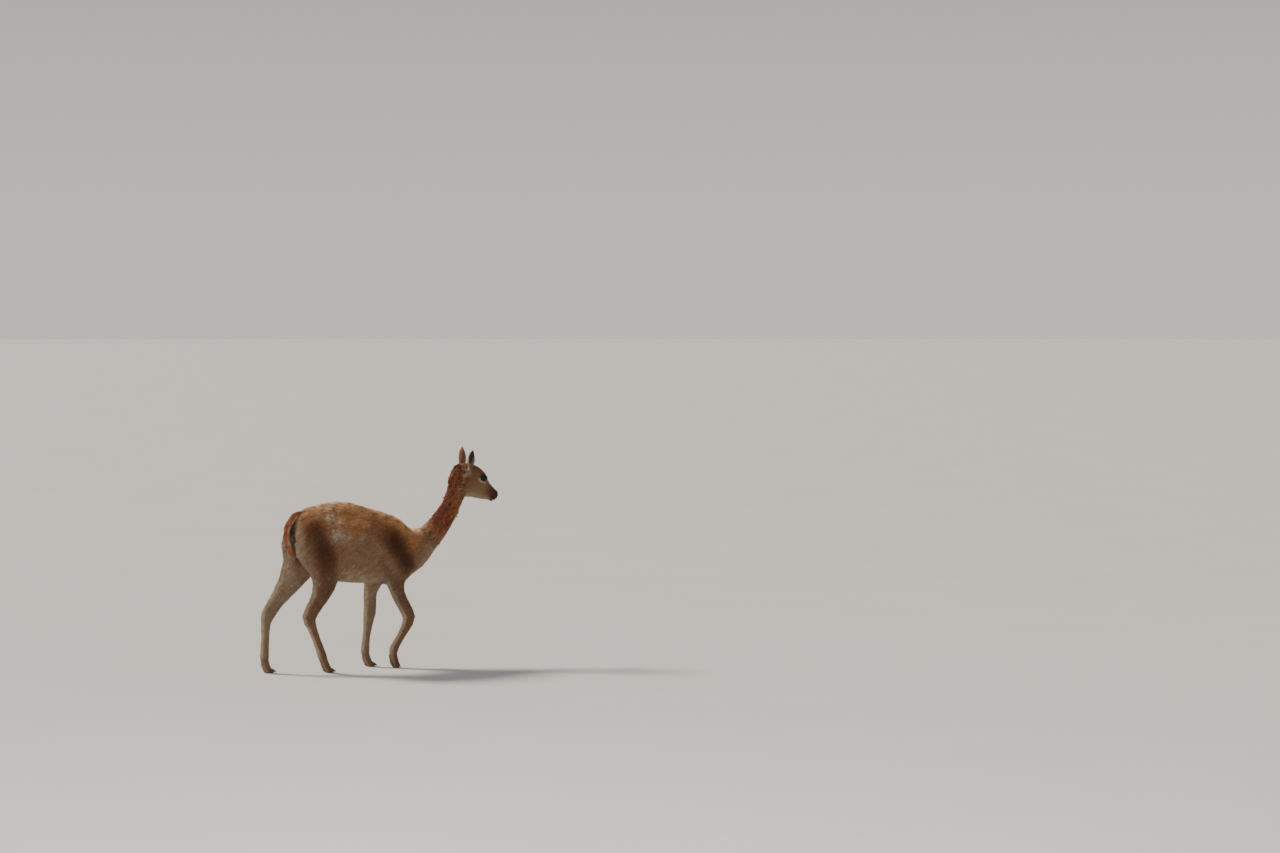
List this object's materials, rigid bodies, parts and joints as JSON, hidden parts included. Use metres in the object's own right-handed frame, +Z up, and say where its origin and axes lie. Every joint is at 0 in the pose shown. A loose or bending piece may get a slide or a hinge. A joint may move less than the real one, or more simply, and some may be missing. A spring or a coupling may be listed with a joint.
{
  "type": "vicuna",
  "caption": "Life-size still vicuna in a slow walk, with a slender raised neck, pointed ears, a hanging tail and two-toed feet.",
  "frame": {"origin": "on the floor below the middle of the animal's bounding box", "axes": "+X the way the animal walks and looks, +Y its left side, +Z up"},
  "size_m": [1.3904, 0.2762, 1.154],
  "materials": {
    "coat": "short woolly coat",
    "eye": "wet gloss",
    "nail": "dull horn"
  },
  "bodies": {
    "root": {"torso": "coat", "neck": "coat", "head": "coat", "leg_hind_right": "coat", "leg_hind_left": "coat", "leg_front_left": "coat", "leg_front_right": "coat", "ear_left": "coat", "ear_right": "coat", "tail": "coat", "eye_left": "eye", "eye_right": "eye", "nail_hind_right_outer": "nail", "nail_hind_right_inner": "nail", "nail_hind_left_outer": "nail", "nail_hind_left_inner": "nail", "nail_front_left_outer": "nail", "nail_front_left_inner": "nail", "nail_front_right_outer": "nail", "nail_front_right_inner": "nail"}
  },
  "joints": []
}
